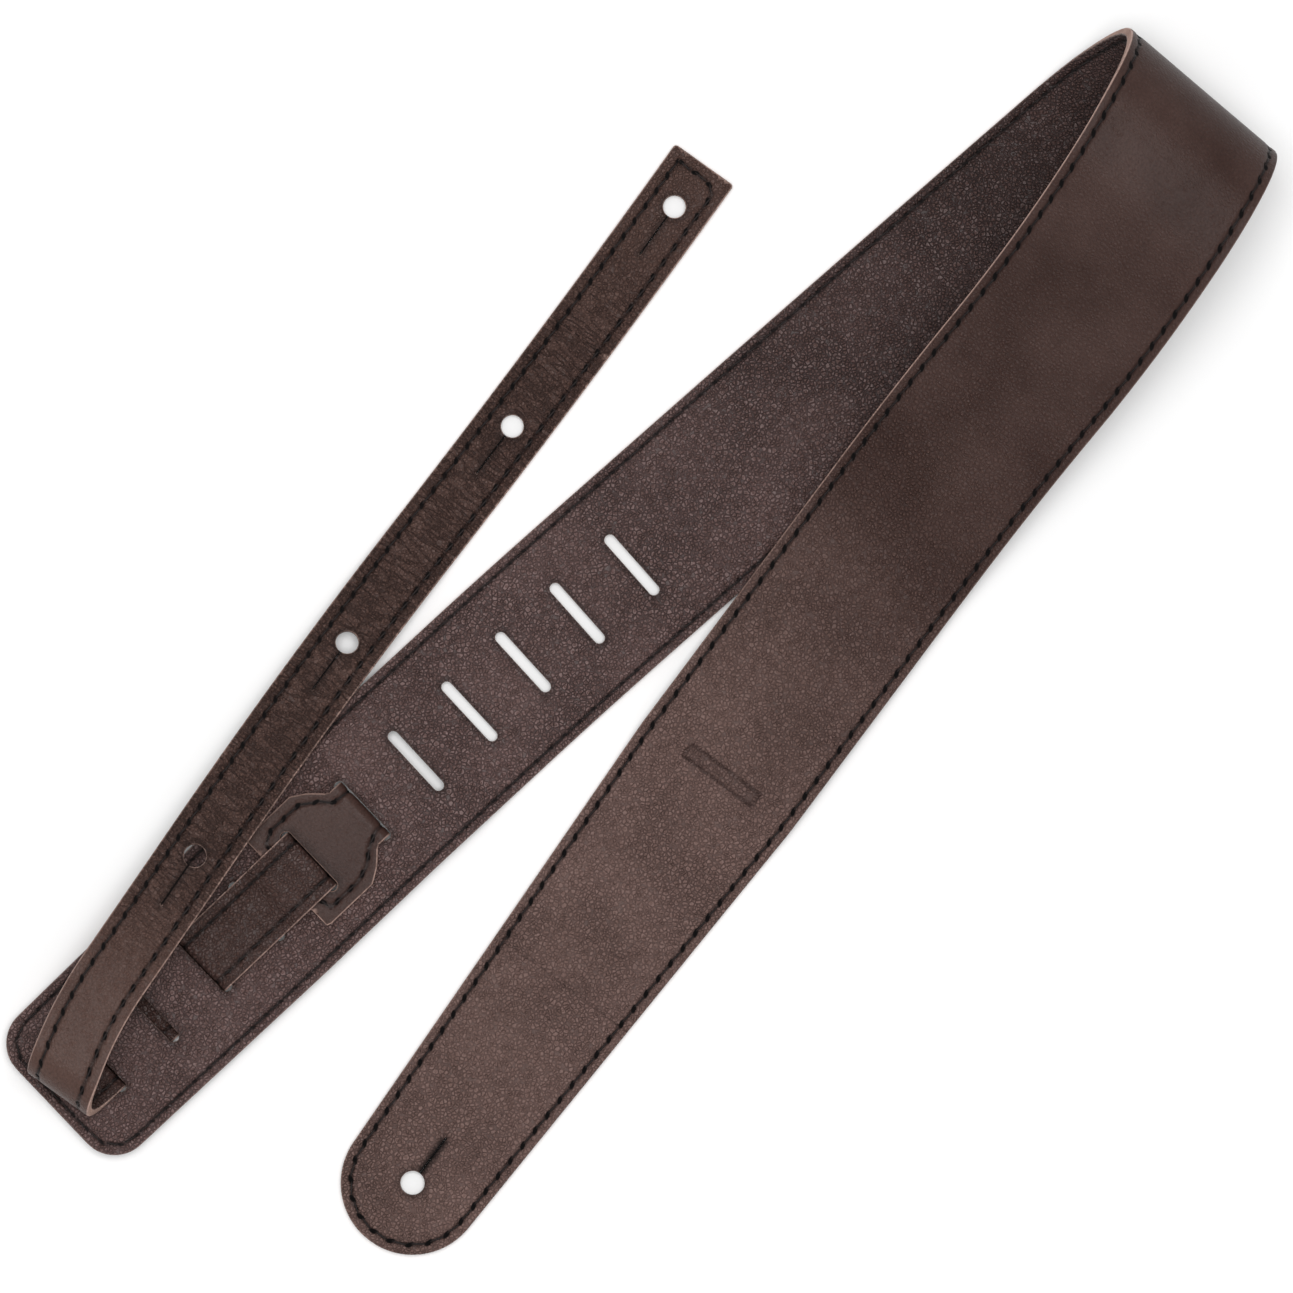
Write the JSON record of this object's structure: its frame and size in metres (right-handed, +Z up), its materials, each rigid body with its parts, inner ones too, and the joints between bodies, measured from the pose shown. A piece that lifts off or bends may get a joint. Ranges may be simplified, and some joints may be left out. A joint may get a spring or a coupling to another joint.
{
  "type": "guitar strap",
  "caption": "Two-ply stitched leather guitar strap, folded once, with a slotted end, a woven adjustable tail that locks on its own head, and button holes at both ends.",
  "frame": {"origin": "under the middle of the strap as it lies, on the surface that it lies on", "axes": "+X along the slotted run towards the fold, +Y towards the side where the free tail lies, +Z up"},
  "size_m": [0.5352, 0.2304, 0.0603],
  "materials": {
    "outer_leather": "smooth top grain, satin",
    "lining_leather": "pebbled, soft sheen",
    "thread": "matt waxed thread"
  },
  "bodies": {
    "band_back": {"band_back_outer": "outer_leather", "band_back_needle_thread": "thread", "band_back_lining": "lining_leather", "band_back_bobbin_thread": "thread", "band_rise_outer": "outer_leather", "band_rise_needle_thread_right": "thread", "band_rise_needle_thread_left": "thread", "band_rise_lining": "lining_leather", "band_rise_bobbin_thread_right": "thread", "band_rise_bobbin_thread_left": "thread", "tail_lock_outer": "outer_leather", "tail_lock_needle_thread": "thread", "tail_lock_lining": "lining_leather", "tail_lock_bobbin_thread": "thread"},
    "band_fold": {"band_fold_outer": "outer_leather", "band_fold_needle_thread_right": "thread", "band_fold_needle_thread_left": "thread", "band_fold_lining": "lining_leather", "band_fold_bobbin_thread_right": "thread", "band_fold_bobbin_thread_left": "thread"},
    "band_front": {"band_slope_outer": "outer_leather", "band_slope_needle_thread_right": "thread", "band_slope_needle_thread_left": "thread", "band_slope_lining": "lining_leather", "band_slope_bobbin_thread_right": "thread", "band_slope_bobbin_thread_left": "thread", "band_front_outer": "outer_leather", "band_front_needle_thread_right": "thread", "band_front_needle_thread_left": "thread", "band_front_lining": "lining_leather", "band_front_bobbin_thread_right": "thread", "band_front_bobbin_thread_left": "thread"},
    "band_tab": {"band_tab_outer": "outer_leather", "band_tab_needle_thread": "thread", "band_tab_lining": "lining_leather", "band_tab_bobbin_thread": "thread"},
    "tail_bend": {"tail_bend_outer": "outer_leather", "tail_bend_needle_thread_right": "thread", "tail_bend_needle_thread_left": "thread", "tail_bend_lining": "lining_leather", "tail_bend_bobbin_thread_right": "thread", "tail_bend_bobbin_thread_left": "thread"},
    "tail_free": {"tail_free_outer": "outer_leather", "tail_free_needle_thread_right": "thread", "tail_free_needle_thread_left": "thread", "tail_free_lining": "lining_leather", "tail_free_bobbin_thread_right": "thread", "tail_free_bobbin_thread_left": "thread"},
    "tail_tip": {"tail_tip_outer": "outer_leather", "tail_tip_needle_thread": "thread", "tail_tip_lining": "lining_leather", "tail_tip_bobbin_thread": "thread"}
  },
  "joints": [
    {"name": "band_fold_back", "type": "hinge", "parent": "band_back", "child": "band_fold", "pos_m": [0.25625, 0.00911, 0.01327], "axis": [-0.1253, 0.9921, 0], "range_deg": [0, 88]},
    {"name": "band_fold_front", "type": "hinge", "parent": "band_fold", "child": "band_front", "pos_m": [0.25009, -0.0022, 0.05652], "axis": [-0.1253, 0.9921, 0], "range_deg": [0, 88]},
    {"name": "band_tab_flex", "type": "hinge", "parent": "band_front", "child": "band_tab", "pos_m": [-0.11524, -0.07544, 0.0033], "axis": [-0.1874, 0.9823, 0], "range_deg": [0, 60]},
    {"name": "tail_fold_lock", "type": "hinge", "parent": "band_back", "child": "tail_bend", "pos_m": [-0.25791, 0.01425, 0.01031], "axis": [0.2045, -0.9789, 0], "range_deg": [0, 88]},
    {"name": "tail_fold_free", "type": "hinge", "parent": "tail_bend", "child": "tail_free", "pos_m": [-0.25761, 0.01823, 0.02747], "axis": [0.2045, -0.9789, 0], "range_deg": [0, 88]},
    {"name": "tail_tip_flex", "type": "hinge", "parent": "tail_free", "child": "tail_tip", "pos_m": [0.05657, 0.08966, 0.003], "axis": [0.1934, -0.9811, 0], "range_deg": [0, 60]}
  ],
  "couplings": [
    {"joint": "band_fold_front", "follows": "band_fold_back", "ratio": 1},
    {"joint": "tail_fold_free", "follows": "tail_fold_lock", "ratio": 1}
  ]
}
